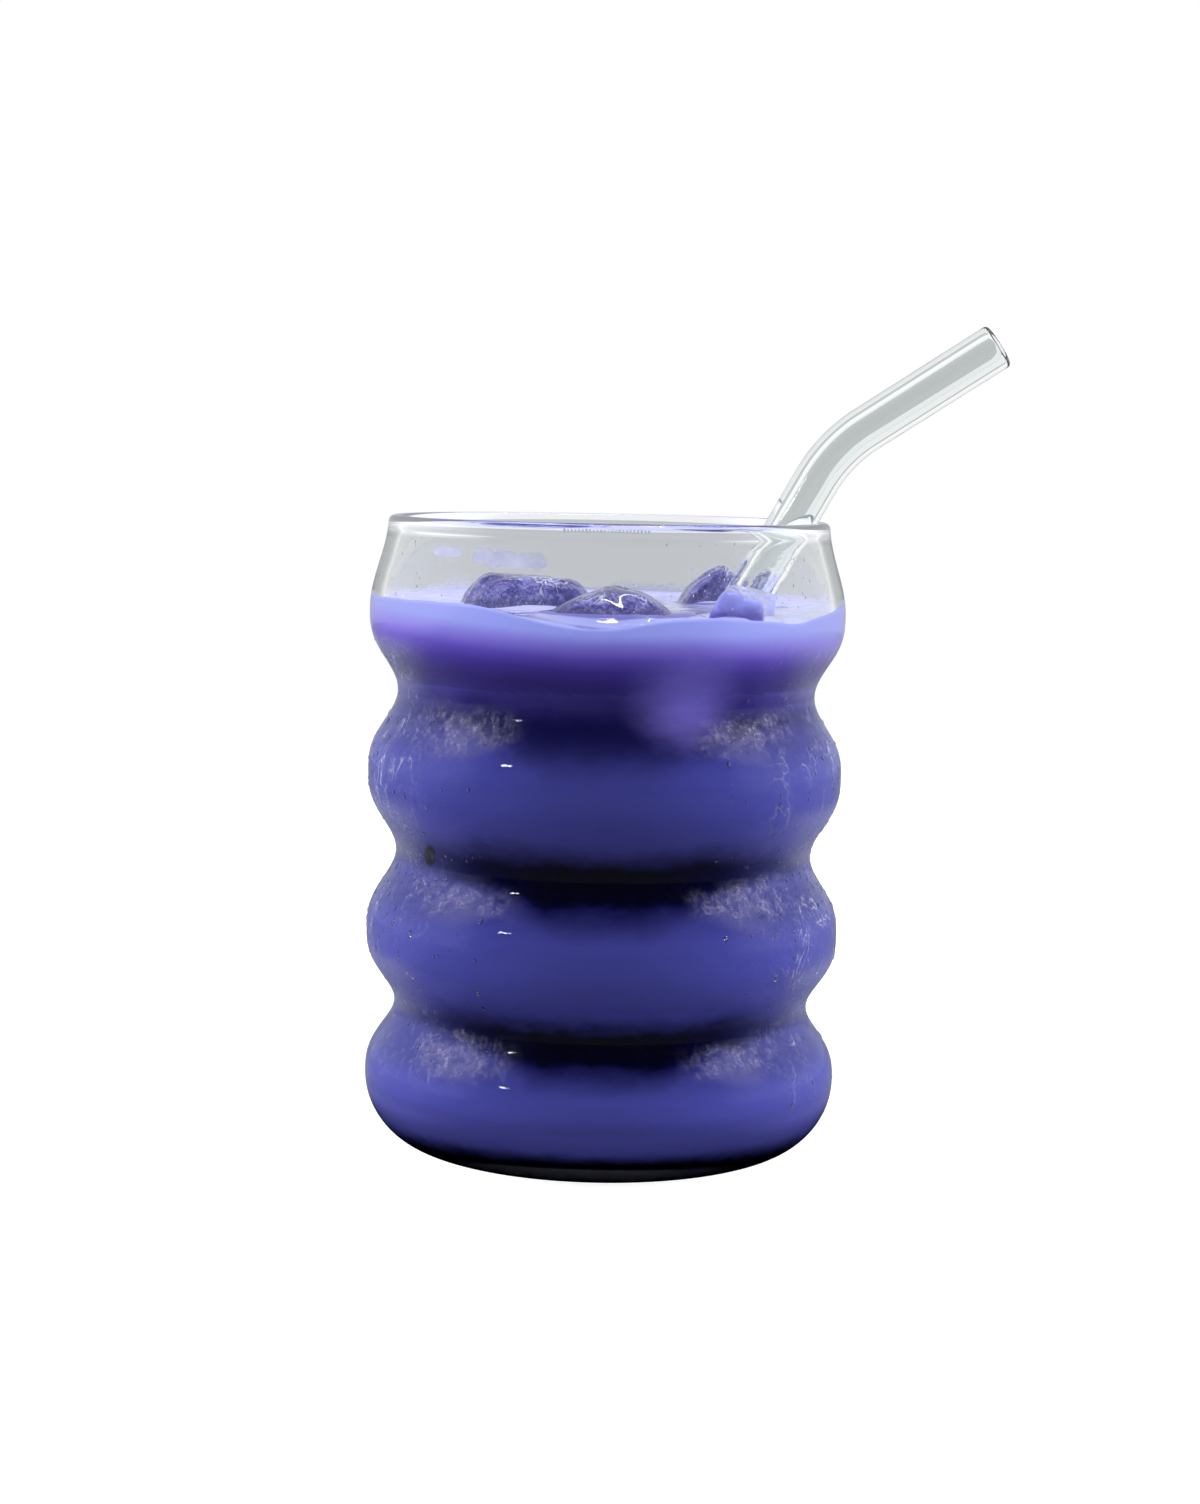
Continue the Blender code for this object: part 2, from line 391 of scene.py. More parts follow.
# Drink
drink = {
    "reach": 0.35 * mm,
    "meniscus": 0.7 * mm,
    "meniscusWidth": 1.0 * mm,
    "swayDepth": 0.07 * mm,
    # where the drink meets the glass: degrees from the front, height over the level in mm
    "contact": ((-180, 0.2), (-110, 0.4), (-68, 1.0), (-48, 1.15), (-35, 1.2), (-29, 0.8),
                (-21, -0.4), (-12, -1.5), (-6, -1.95), (0, -1.95), (5, -1.5), (9, -1.0),
                (13, -0.6), (17, -0.3), (24, -0.1), (30, -0.3), (37, -0.6), (47, -1.1),
                (53, -1.4), (62, -0.5), (78, 0.7), (120, 0.3), (180, 0.2)),
    "contactWidth": 3.5 * mm,
    # colour and glow at each share of this depth under the level: painted light that is pale near
    # the level and dark below, and a painted glow
    "colourDepth": 24 * mm,
    "colours": (
        (0.0, (0.29, 0.31, 0.66)), (0.115, (0.29, 0.31, 0.66)), (0.205, (0.27, 0.22, 0.68)),
        (0.285, (0.155, 0.10, 0.57)), (0.365, (0.090, 0.055, 0.44)), (0.48, (0.064, 0.040, 0.32)),
        (0.75, (0.062, 0.050, 0.33)), (1.0, (0.074, 0.077, 0.40))),
    # painted glow under the level: how it fades with depth, then its colour
    "paintedGlowFade": (
        (0.0, (1, 1, 1)), (0.12, (1, 1, 1)), (0.20, (0.22, 0.15, 0.44)),
        (0.29, (0.06, 0.04, 0.15)), (0.37, (0.02, 0.015, 0.05)), (0.46, (0, 0, 0))),
    "glow": (0.10, 0.122, 0.37),
    # the painted pale zone of light under the level is thinner on the left
    "leftLean": 0.075,        # the pale zone is thinner on the left
    "lower": (0.085, 0.090, 0.46),
    # painted shade on faces that look up, painted light on faces that look down
    "facingUpShade": (0.01, 0.01, 0.08),
    "facingDownLight": (0.22, 0.22, 0.95),
    # rings of painted shade in the waists: height, reach below and above in mm, black core,
    # strength
    "rings": ((75.6, 10.2, 6.8, 0.05, 0.86), (50.2, 10.3, 8.8, 0.20, 1.0),
              (22.8, 8.2, 7.8, 0.18, 1.0)),
    # colours of the painted shade and of its black core
    "shadeColour": (0.0006, 0.0004, 0.040),
    "shadeBlack": (0.0001, 0.0001, 0.010),
    # painted shade at the foot of the tea
    "foot": (4.7 * mm, 6.9 * mm),       # black below the first, clear of it above the second
    # a pale cloud with a painted glow, by its middle, and a short dark stroke by its place across
    # and up, in mm
    "cloudSpot": (13.2, -34.0, 82.3),
    "cloudColour": (0.25, 0.205, 0.76),
    "cloudPaintedGlow": (0.012, 0.0085, 0.040),
    "darkSpot": (-28.4, 53.0),
    "surface": (0.50, 0.52, 0.84),
    # painted shade at the front of the surface
    "surfaceFrontShade": (0.27, 0.29, 0.66),
    # painted reflection lines on the ripples
    "rippleReflections": (0.10, 0.085, 0.40),
}


def outsideLump(across, along, lump):
    # mm outside a lump of ice: (distance in half sizes - 0.92) times its least half size
    (x, y, _), (sizeX, sizeY, _) = lump[:2]
    share = np.hypot((across / mm - x) / sizeX, (along / mm - y) / sizeY) * 2
    return np.clip(share - 0.92, 0, None) * min(sizeX, sizeY) / 2


def surfaceHeight(across, along):
    # level of the drink: a rise at the wall, slow ripples, and highs and lows along the contact
    radius = np.hypot(across, along)
    wall = float(innerRadius(drinkLevel))
    edge = np.clip(wall - radius, 0, None)
    angle = np.degrees(np.arctan2(across, -along))
    line = contactHeight(angle) * np.exp(-(edge / drink["contactWidth"]) ** 2)
    meniscus = drink["meniscus"] * (np.exp(-edge / drink["meniscusWidth"]) - 1)
    for lump in iceLumps.values():
        outside = outsideLump(across, along, lump)
        meniscus += 0.8 * mm * np.exp(-outside / 0.8)
        meniscus += 0.10 * mm * np.sin(outside * 2.6) * np.exp(-outside / 3.5)
    sway = np.sin(across * 310 + 1.1) * np.cos(along * 420 + across * 150)
    sway += 0.6 * np.sin(along * 730 - across * 260)
    return drinkLevel + meniscus + line + drink["swayDepth"] * sway


def rippleStrength(across, along):
    # 0 to 1: rings of ripples on the surface round every lump of ice, dying away from it, where
    #         reflection lines are painted
    strength = np.zeros(np.shape(across))
    for lump in iceLumps.values():
        outside = outsideLump(across, along, lump)
        rings = (0.5 + 0.5 * np.sin(outside * 1.9 + lump[3])) * np.exp(-outside / 5)
        strength = np.maximum(strength, rings)
    return strength


def contactHeight(angle):
    # the contact line's rise over the level: smooth steps between the points of its table
    table = np.array(drink["contact"])
    spread = np.linspace(-3.2, 3.2, 9)
    heights = np.interp(angle[..., None] + spread, table[:, 0], table[:, 1])
    return heights.mean(-1) * mm


def drinkFinish():
    # opaque tea: pale at the surface, violet below it, then blue, black in the waists; the
    # paleness under the level, its glow and the black in the waists and at the foot are painted
    # light and shade
    finish = Finish("taroTea")
    spot, across, along, up = finish.place()
    depth = finish.carriedValue("depthBelow")
    top = finish.carriedValue("onTop")
    cloud = finish.noise(finish.stretched(spot, (1.0, 1.0, 1.8)), 60.0, 5.0, 0.55) - 0.5
    fine = finish.noise(finish.stretched(spot, (1.0, 1.0, 2.2)), 210.0, 4.0, 0.6) - 0.5
    sideways = finish.ease(abs(across), 17 * mm, 40 * mm)
    # painted light and shade: by depth, then by which way the side faces
    share = depth / drink["colourDepth"] + cloud * 0.035
    colour = finish.node("ShaderNodeValToRGB", {"stops": drink["colours"]}, {0: share})
    colour = finish.mixColour(finish.ease(up, 56 * mm, 12 * mm), colour, drink["lower"])
    # painted shade on faces that look up, painted light from the floor and sides on faces that
    # look down
    slope = finish.carriedValue("slope")
    colour = finish.mixColour(finish.ease(slope, 0.0, 0.7) * 0.48, colour, drink["facingUpShade"])
    lit = finish.ease(slope, -0.1, -0.9) * (0.22 + sideways * 0.6)
    colour = finish.mixColour(lit, colour, drink["facingDownLight"])
    # painted shade: a ring in each waist, narrower towards its ends, and black at the foot
    shade = None
    narrow = finish.ease(abs(across), 8 * mm, 26 * mm)
    ragged = finish.noise(finish.stretched(spot, (1.0, 1.0, 1.5)), 130.0, 3.0, 0.55) - 0.5
    for middle, below, above, core, strength in drink["rings"]:
        height = up - middle * mm + fine * (1.6 * mm) + ragged * (3.2 * mm)
        height = height - narrow * (1.2 * mm)
        under = height / (-below * mm) * (1.0 + narrow * 1.4)
        away = (height / (above * mm)).calc("MAXIMUM", under)
        ring = (1.0 - finish.ease(away + sideways * 0.25, core, 1.0)) * strength
        shade = ring if shade is None else shade + ring
    foot = 1.0 - finish.ease(up + fine * (1.2 * mm), *drink["foot"])
    shade = (shade * (1.0 - sideways * 0.62) + foot).clamped()
    # the dark stroke
    x, z = drink["darkSpot"]
    gap = ((across - x * mm) ** 2.0 + ((up - z * mm) * 0.45) ** 2.0) ** 0.5
    stroke = (1.0 - finish.ease(gap, 0.3 * mm, 1.2 * mm)) * finish.ease(along, 0.0, -10 * mm)
    shade = (shade + stroke).clamped()
    colour = finish.mixColour(shade, colour, drink["shadeColour"])
    # the black core of the painted shade in the waists and at the foot
    core = finish.ease(shade, 0.86, 1.0) * (1.0 - finish.ease(abs(across), 9 * mm, 21 * mm) * 0.8)
    core = (core + finish.ease(foot, 0.75, 1.0) + stroke).clamped()
    colour = finish.mixColour(core, colour, drink["shadeBlack"])
    # the pale cloud, which also lights the painted glow below
    middle = tuple(value * mm for value in drink["cloudSpot"])
    away = finish.node("ShaderNodeVectorMath", {"operation": "DISTANCE"},
                       {0: spot, 1: middle}, "Value")
    light = 1.0 - finish.ease(away + fine * (3 * mm), 0.5 * mm, 12.5 * mm)
    colour = finish.mixColour(light * 0.92, colour, drink["cloudColour"])
    # the surface, with painted shade at the front and painted reflection lines on its ripples
    front = finish.ease(along + cloud * (20 * mm), -14 * mm, -37 * mm)
    surface = finish.mixColour(front * 0.85, drink["surface"], drink["surfaceFrontShade"])
    # painted reflection: dark lines on the rings of ripples
    lines = finish.ease(finish.carriedValue("ripple") + fine * 0.5, 0.36, 0.66) * 0.85
    surface = finish.mixColour(lines, surface, drink["rippleReflections"])
    colour = finish.mixColour(top, colour, surface)
    # painted glow: light that spreads inside the tea just under its level
    fade = finish.node("ShaderNodeValToRGB", {"stops": drink["paintedGlowFade"]}, {0: share})
    glow = finish.mixColour(1.0, fade, drink["glow"], "MULTIPLY")
    glow = finish.mixColour((1.0 - top) * (1.0 - sideways * 0.85), (0, 0, 0), glow)
    glow = finish.mixColour(light, glow, drink["cloudPaintedGlow"])
    shader = finish.principled({
        "Base Color": colour,
        "Roughness": 0.35,
        "IOR": 1.33,
        "Specular IOR Level": 0.06,
        "Coat Weight": top,
        "Coat Roughness": 0.02,
        "Coat IOR": 1.33,
        "Emission Color": glow,
        "Emission Strength": 1.0,
        "Normal": finish.bump(fine, 0.05 * mm),
    })
    return finish.done(shader)


def makeDrink(material):
    # rows run from the middle of the surface out, down the wall just inside it, and back in
    columns = 168
    angles = fullTurn(columns)
    wall = float(innerRadius(drinkLevel))
    topRadius = np.linspace(0.6 * mm, wall - 3 * mm, 46)
    edgeRadius = wall - 3 * mm * np.linspace(1, 0, 16)[1:] ** 1.5
    radius = np.concatenate([topRadius, edgeRadius])[:, None]
    across, along = radius * np.cos(angles), radius * np.sin(angles)
    top = np.stack([across, along, surfaceHeight(across, along)], axis=-1)
    contact = surfaceHeight(wall * np.cos(angles), wall * np.sin(angles))
    low = tumbler["base"] - drink["reach"]
    share = np.linspace(0, 1, 170)[:, None]
    height = contact[None] * (1 - share) + (tumbler["base"] + 0.02 * mm) * share
    sideRadius = innerRadius(height) + drink["reach"]
    side = np.stack([sideRadius * np.cos(angles), sideRadius * np.sin(angles), height], axis=-1)
    side[-1, :, 2] = low
    floorRadius = np.linspace(tumbler["floorRadius"], 3 * mm, 6)
    floor = turnedPoints(floorRadius, np.full(len(floorRadius), low), angles)
    points = np.concatenate([top, side, floor])
    # numbers that the points carry: depth, 1 on the surface, which way the side faces, ripples;
    # the way the side faces drives painted light and shade, the ripples drive painted reflection
    # lines
    noneTop, noneSide, noneFloor = [np.zeros(part.shape[:2]) for part in (top, side, floor)]
    lean = drink["leftLean"] * np.clip(-side[..., 0] - 4 * mm, 0, None)
    below = np.concatenate([noneTop, drinkLevel - height + lean, noneFloor + drinkLevel])
    onTop = np.concatenate([noneTop + 1, noneSide, noneFloor])
    onTop[len(top) - 1] = 0.0
    step = 0.2 * mm
    slope = (innerRadius(height - step) - innerRadius(height + step)) / (2 * step)
    slope = np.clip(slope, -1, 1) * (height < 82 * mm)
    slope = np.concatenate([noneTop, slope, noneFloor])
    ripple = np.concatenate([rippleStrength(across, along), noneSide, noneFloor])
    values = {
        "depthBelow": np.append(below, [0, drinkLevel]), "onTop": np.append(onTop, [1, 0]),
        "slope": np.append(slope, [0, 0]), "ripple": np.append(ripple, [0, 0])}
    faces = cappedFaces(len(points), columns)
    poles = np.array([[0, 0, float(surfaceHeight(np.zeros(1), np.zeros(1))[0])], [0, 0, low]])
    points = np.concatenate([points.reshape(-1, 3), poles])
    turnOutward(meshPiece("taroTea", points, faces, material, values))
    carried("taroTea", "drink", slot="drink")


# Straw
straw = {
    "radius": 4.0 * mm,
    "wall": 1.8 * mm,
    "lean": math.radians(61.0),
    "endClearance": 0.8 * mm,
    "gap": 0.3 * mm,
    "neckAboveRim": 13.9 * mm,
    "bendRadius": 24.0 * mm,
    "tipLength": 33.2 * mm,
    "tipRise": math.radians(34.0),
    "tipForward": math.radians(13.0),
    "tint": (0.95, 0.975, 0.965),
    "ior": 1.47,
}


def strawLine():
    # middle line of the straw, from its foot through the bend to the tip, and its directions
    lower = Vector((math.cos(straw["lean"]), 0.0, math.sin(straw["lean"])))
    level = math.cos(straw["tipForward"])
    upper = Vector((level * math.cos(straw["tipRise"]), -math.sin(straw["tipForward"]),
                    level * math.sin(straw["tipRise"])))
    lipHeight = tumbler["height"] - tumbler["wall"] / 2
    reach = (straw["radius"] + straw["gap"]) / math.sin(straw["lean"])
    atRim = Vector((float(outerRadius(lipHeight)) - tumbler["wall"] - reach, 0.0, lipHeight))
    footReach = straw["radius"] * math.cos(straw["lean"])
    footHeight = tumbler["base"] + straw["endClearance"] + footReach
    start = atRim - lower * ((atRim.z - footHeight) / lower.z)
    corner = atRim + lower * (straw["neckAboveRim"] / lower.z)
    turn = lower.angle(upper)
    tangent = straw["bendRadius"] * math.tan(turn / 2)
    inward = (upper - lower * lower.dot(upper)).normalized()
    bendStart = np.array(corner - lower * tangent)
    tipEnd = np.array(corner + upper * straw["tipLength"])
    start, lower, inward = np.array(start), np.array(lower), np.array(inward)
    # straight leg, an arc start + radius * (sin lower + (1 - cos) inward), straight tip
    angle = np.linspace(0, turn, 30)[:, None]
    bend = bendStart + straw["bendRadius"] * (
        lower * np.sin(angle) + inward * (1 - np.cos(angle)))
    leg = start + np.linspace(0, 1, 24)[:-1, None] * (bendStart - start)
    tip = bend[-1] + np.linspace(0, 1, 14)[1:, None] * (tipEnd - bend[-1])
    points = np.concatenate([leg, bend, tip])
    ahead = np.gradient(points, axis=0)
    ahead /= np.linalg.norm(ahead, axis=1, keepdims=True)
    sideways = np.cross(lower, inward)
    sideways = np.tile(sideways / np.linalg.norm(sideways), (len(points), 1))
    upward = np.cross(sideways, ahead)
    return points, ahead, sideways, upward


def strawFinish():
    # clear drawn glass, a little wavy along its length, wet where it stands over the drink
    finish = Finish("strawGlass")
    spot, across, along, up = finish.place()
    wave = finish.noise(finish.stretched(spot, (1.0, 1.0, 0.3)), 130.0, 2.0)
    wet = finish.noise(spot, 420.0, 3.0, 0.6) * finish.ease(up, 108 * mm, 104 * mm)
    shader = finish.principled({
        "Base Color": straw["tint"],
        "Roughness": 0.01,
        "IOR": straw["ior"],
        "Transmission Weight": 1.0,
        "Normal": finish.bump(wave * 0.05 + wet * 0.16, mm),
    })
    return finish.done(finish.clearShadow(shader, straw["tint"]))


def makeStraw(material):
    # rings down the bore from tip to foot, round the foot's lip, up the outside, and round the
    # tip's lip: each is the middle line's point + shift ahead + radius * (cos side + sin up)
    line, ahead, sideways, upward = strawLine()
    columns = 48
    outer, inner = straw["radius"], straw["radius"] - straw["wall"]
    lip = straw["wall"] / 2
    middle = (outer + inner) / 2
    turn = np.linspace(0, math.pi, 9)[1:-1]
    steps = len(turn)
    inset = lip * 0.8
    count = len(line)
    upIndex = np.arange(count)
    footShift = inset * (1 - np.sin(turn))
    index = np.concatenate(
        [upIndex[::-1], np.zeros(steps, int), upIndex, np.full(steps, count - 1)])
    radius = np.concatenate([
        np.full(count, inner), middle - lip * np.cos(turn),
        np.full(count, outer), middle + lip * np.cos(turn)])
    along = np.concatenate([np.zeros(count), footShift, np.zeros(count), -footShift])
    # both walls end short of the foot and the tip, where the rounded lips begin
    along[count - 1] = inset
    along[0] = -inset
    along[count + steps] = inset
    along[2 * count + steps - 1] = -inset
    angles = fullTurn(columns)
    spoke = (np.cos(angles)[None, :, None] * sideways[index][:, None]
             + np.sin(angles)[None, :, None] * upward[index][:, None])
    centre = (line[index] + ahead[index] * along[:, None])[:, None]
    points = centre + radius[:, None, None] * spoke
    faces = gridFaces(len(index), columns, wrapRows=True)
    turnOutward(meshPiece("strawTube", points, faces, material))
    carried("strawTube", "straw", slot="straw_glass")


# Ice
iceLumps = {
    # centre, size, turn about X, Y and Z in degrees, seed
    "ice_left": ((-14.1, -5.5, 91.5), (22.5, 16.5, 15.2), (0, 4, 6), 3),
    "ice_middle": ((1.6, -26.0, 90.5), (26.5, 17.5, 16.6), (-6, 3, -3), 8),
    "ice_right": ((18.2, 15.0, 93.8), (9.0, 10.0, 15.0), (0, 30, 6), 5),
    "ice_small": ((27.6, 8.0, 96.2), (5.4, 4.8, 8.0), (8, 8, 0), 11),
    "ice_slab": ((21.3, -20.5, 90.9), (9.5, 15.0, 14.5), (5, 14, -12), 21),
}
iceForms = {
    # squareness, taper towards the top across, waves, ridges cut in its sides, how vivid
    "ice_left": (4.6, 0.16, 0.030, 0.035, 0.0),
    "ice_middle": (2.7, 0.52, 0.026, 0.030, 0.0),
    "ice_right": (3.8, 0.50, 0.035, 0.045, 0.05),
    "ice_small": (3.2, 0.12, 0.045, 0.040, 0.15),
    "ice_slab": (9.0, 0.22, 0.012, 0.040, 1.0),
}
iceLook = {
    "pale": (0.34, 0.34, 0.76),
    "mid": (0.080, 0.066, 0.36),
    "dark": (0.012, 0.007, 0.10),
    "grey": (0.17, 0.15, 0.22),
    "bubble": (0.60, 0.61, 0.86),
    "vividLow": (0.060, 0.035, 0.40),
    "vividTop": (0.30, 0.32, 0.88),
    "paintedGlint": (0.86, 0.87, 0.96),
    "shadow": (0.8, 0.8, 0.95),
}


def iceFinish():
    # wet ice tinted by the tea, marbled, clouded by small bubbles, greyer where it is dry, with
    # painted highlight lines on its tops
    finish = Finish("wetIce")
    spot, across, along, up = finish.place()
    cloud = finish.noise(spot, 330.0, 6.0, 0.66, 1.4)
    vein = finish.noise(finish.stretched(spot, (1.0, 1.0, 0.7)), 900.0, 4.0, 0.6, 2.2)
    bubble = 1.0 - finish.ease(finish.cells(spot, 900.0), 0.08, 0.24)
    broad = finish.noise(spot, 120.0, 2.0)
    stops = ((0.38, iceLook["dark"]), (0.485, iceLook["mid"]), (0.58, iceLook["pale"]))
    share = cloud * 0.5 + vein * 0.35 + broad * 0.15
    colour = finish.node("ShaderNodeValToRGB", {"stops": stops}, {0: share})
    vivid = finish.carriedValue("vivid")
    above = finish.ease(up + cloud * (2 * mm), 95.4 * mm, 97.2 * mm)
    clear = finish.mixColour(above, iceLook["vividLow"], iceLook["vividTop"])
    base = finish.ease(up, 96.4 * mm, 94.8 * mm) * (1.0 - vivid)
    colour = finish.mixColour(base * 0.6, colour, iceLook["dark"])
    colour = finish.mixColour(vivid * 0.85, colour, clear)
    # painted highlights: thin pale lines on the tops of the lumps
    paintedGlint = finish.noise(spot, 210.0, 2.0, 0.5, 0.8)
    paintedGlint = 1.0 - finish.ease(abs(paintedGlint - 0.5), 0.004, 0.022)
    paintedGlint = paintedGlint * finish.ease(up, 95.8 * mm, 96.8 * mm) * finish.ease(broad, 0.44, 0.56)
    colour = finish.mixColour(paintedGlint * 0.85, colour, iceLook["paintedGlint"])
    dry = finish.ease(up, 96.2 * mm, 99.0 * mm) * finish.ease(broad, 0.42, 0.62)
    dry = dry * (1.0 - vivid) * finish.ease(along, -10 * mm, -18 * mm)
    colour = finish.mixColour(dry * 0.7, colour, iceLook["grey"])
    colour = finish.mixColour(bubble * (1.0 - vivid) * 0.5, colour, iceLook["bubble"])
    shader = finish.principled({
        "Base Color": colour,
        "Roughness": 0.08,
        "IOR": 1.31,
        "Transmission Weight": 0.25,
        "Coat Weight": 1.0,
        "Coat Roughness": 0.02,
        "Normal": finish.bump((cloud * 0.6 + vein * 0.4) * (1.0 - vivid * 0.9), 1.1 * mm, 0.8),
    })
    return finish.done(finish.clearShadow(shader, iceLook["shadow"]))


def lumpPoints(size, seed, form, rows, columns):
    # rounded block |x|^n + |y|^n + |z|^n = 1, drawn in towards its top, with slow waves and
    # a few melted ridges: narrow bands where the surface steps in
    squareness, taper, waves, ridges, _ = form
    draw = np.random.default_rng(seed)
    tilt = np.linspace(0, math.pi, rows + 2)[1:-1, None]
    angle = fullTurn(columns)[None]
    ways = np.stack([np.sin(tilt) * np.cos(angle), np.sin(tilt) * np.sin(angle),
                     np.cos(tilt) * np.ones_like(angle)], axis=-1).reshape(-1, 3)
    ways = np.concatenate([ways, [[0, 0, 1], [0, 0, -1]]])
    reach = (np.abs(ways) ** squareness).sum(1) ** (-1 / squareness)
    points = ways * reach[:, None]
    wave = np.zeros(len(ways))
    for strength in (1.0, 0.7, 0.5, 0.35, 0.25):
        direction = draw.normal(size=3)
        pitch = 2.2 / strength
        wave += strength * np.sin(points @ direction * pitch + draw.uniform(0, 6.28))
    ridge = np.zeros(len(ways))
    for _ in range(4):
        direction = draw.normal(size=3)
        direction /= np.linalg.norm(direction)
        offset = draw.uniform(-0.6, 0.6)
        ridge += np.tanh((points @ direction - offset) * 9)
    points *= (1 + waves * wave + ridges * ridge / 2)[:, None]
    narrow = 1 - taper * np.clip(points[:, 2], 0, None) ** 1.2
    points[:, 0] *= narrow
    points[:, 1] *= 1 - 0.5 * (1 - narrow)
    points[:, :2] = np.clip(points[:, :2], -1.04, 1.04)
    points[:, 2] = np.clip(points[:, 2], -1.03, 1.03)
    return points * np.array(size)[None] / 2


def makeIce(material):
    # each lump's points turned about X, Y and Z and moved to its centre
    rows, columns = 90, 140
    faces = cappedFaces(rows, columns)
    for name, (centre, size, turns, seed) in iceLumps.items():
        points = lumpPoints(np.array(size) * mm, seed, iceForms[name], rows, columns)
        place = Matrix.Translation(Vector(centre) * mm)
        for axis, turn in zip("XYZ", turns):
            place = place @ Matrix.Rotation(math.radians(turn), 4, axis)
        turned = points @ np.array(place.to_3x3()).T + np.array(place.translation)
        pieceName = name.replace("ice_", "ice") + "Lump"
        values = {"vivid": np.full(len(turned), iceForms[name][4])}
        turnOutward(meshPiece(pieceName, turned, faces, material, values))
        carried(pieceName, name, slot="ice")


# Condensation and splashes
wetness = {
    "seed": 17,
    "drops": 1300,
    "dropRadius": (0.10 * mm, 0.46 * mm),
    "dropHeight": 0.45,
    # misted bands in mm: frost with a painted reflection of the side lights just under the waists,
    # a veil in the hollows just over them
    "frostReflectionBands": (75.0, 47.2, 20.6),
    "hollows": (84.8, 56.2, 29.6),
    "frostAndReflection": (0.60, 0.56, 0.84),
    "specks": 110,
    "beads": 24,
    "speckAngles": (-62, 20, 55, 140, -120),   # degrees from the front
    "mistGap": 0.03 * mm,
    "mist": (0.71, 0.72, 0.96),
    "water": (0.97, 0.97, 1.0),
    "waterShadow": (0.96, 0.96, 0.98),
    "film": (0.30, 0.30, 0.70),
    "filmBack": (0.66, 0.66, 0.88),
    "filmPale": (0.62, 0.63, 0.86),
    # drink left on the inside of the neck: degrees from the front, height in mm, half sizes
    "smears": ((-45.0, 103.8, 5.6, 1.0), (-33.0, 103.5, 3.6, 1.4), (-27.5, 103.0, 5.5, 1.8),
               (-20.0, 102.9, 5.0, 1.6)),
}


def mistFinish():
    # fine water drops too small to see one by one: a pale veil that comes and goes, with painted
    # reflections in frosted bands under the waists
    finish = Finish("condensationMist")
    spot, across, along, up = finish.place()
    sideways = finish.ease(abs(across), 20 * mm, 41 * mm)
    height = finish.ease(up, 8 * mm, 18 * mm) * (1.0 - finish.ease(up, 87 * mm, 92 * mm))
    patches = finish.ease(finish.noise(spot, 75.0, 5.0, 0.65), 0.42, 0.62)
    grain = finish.noise(spot, 1400.0, 3.0, 0.7)
    speckle = finish.ease(grain, 0.42, 0.66)
    runs = finish.noise(finish.stretched(spot, (1.0, 1.0, 0.12)), 520.0, 3.0)
    streaks = finish.ease(runs, 0.62, 0.72) * sideways
    # thin wandering lines of water
    path = finish.noise(finish.stretched(spot, (1.0, 1.0, 0.55)), 150.0, 3.0, 0.55, 0.6)
    path = 1.0 - finish.ease(abs(path - 0.5), 0.003, 0.014)
    path = path * finish.ease(abs(across), 24 * mm, 36 * mm) * patches
    frostAndReflection, hollow = None, None
    for middle, above in zip(wetness["frostReflectionBands"], wetness["hollows"]):
        band = 1.0 - finish.ease(abs(up - middle * mm + (patches - 0.5) * (2 * mm)),
                                 1.0 * mm, 4.0 * mm)
        frostAndReflection = band if frostAndReflection is None else frostAndReflection + band
        veil = 1.0 - finish.ease(abs(up - above * mm), 2.6 * mm, 6.9 * mm)
        hollow = veil if hollow is None else hollow + veil
    offSide = abs(across)
    spread = finish.ease(offSide, 12 * mm, 20 * mm) * finish.ease(offSide, 33 * mm, 26 * mm)
    coarse = finish.noise(spot, 420.0, 4.0, 0.7)
    # frosted bands that carry a painted reflection of the side lights
    frostAndReflection = frostAndReflection * spread * finish.ease(coarse, 0.36, 0.62) * (speckle * 0.7 + 0.3) * 0.42
    hollow = hollow * finish.ease(abs(across), 28.5 * mm, 35.5 * mm) * 0.28
    veil = sideways * (0.05 + patches * 0.12) * (speckle * 0.9 + 0.2) + hollow
    alpha = ((veil + streaks * 0.12 + path * 0.45 + frostAndReflection) * height).clamped()
    shader = finish.principled({
        "Base Color": finish.mixColour((frostAndReflection * 8.0).clamped(), wetness["mist"], wetness["frostAndReflection"]),
        "Roughness": 0.45,
        "Alpha": alpha,
        "Normal": finish.bump(grain, 0.15 * mm),
    })
    return finish.done(shader)


def makeMist(material):
    # the tumbler's side once more, a hair outside it
    columns = 144
    height = np.linspace(7 * mm, 92 * mm, 150)
    points = turnedPoints(outerRadius(height) + wetness["mistGap"], height, fullTurn(columns))
    faces = gridFaces(len(height), columns)
    meshPiece("condensationMist", points, faces, material)
    carried("condensationMist")


def waterFinish():
    # clear water with a slightly uneven skin
    finish = Finish("waterDrops")
    spot, across, along, up = finish.place()
    small = finish.noise(spot, 900.0, 2.0)
    shader = finish.principled({
        "Base Color": wetness["water"],
        "Roughness": 0.02,
        "IOR": 1.33,
        "Transmission Weight": 1.0,
        "Normal": finish.bump(small, 0.03 * mm),
    })
    return finish.done(finish.clearShadow(shader, wetness["waterShadow"]))


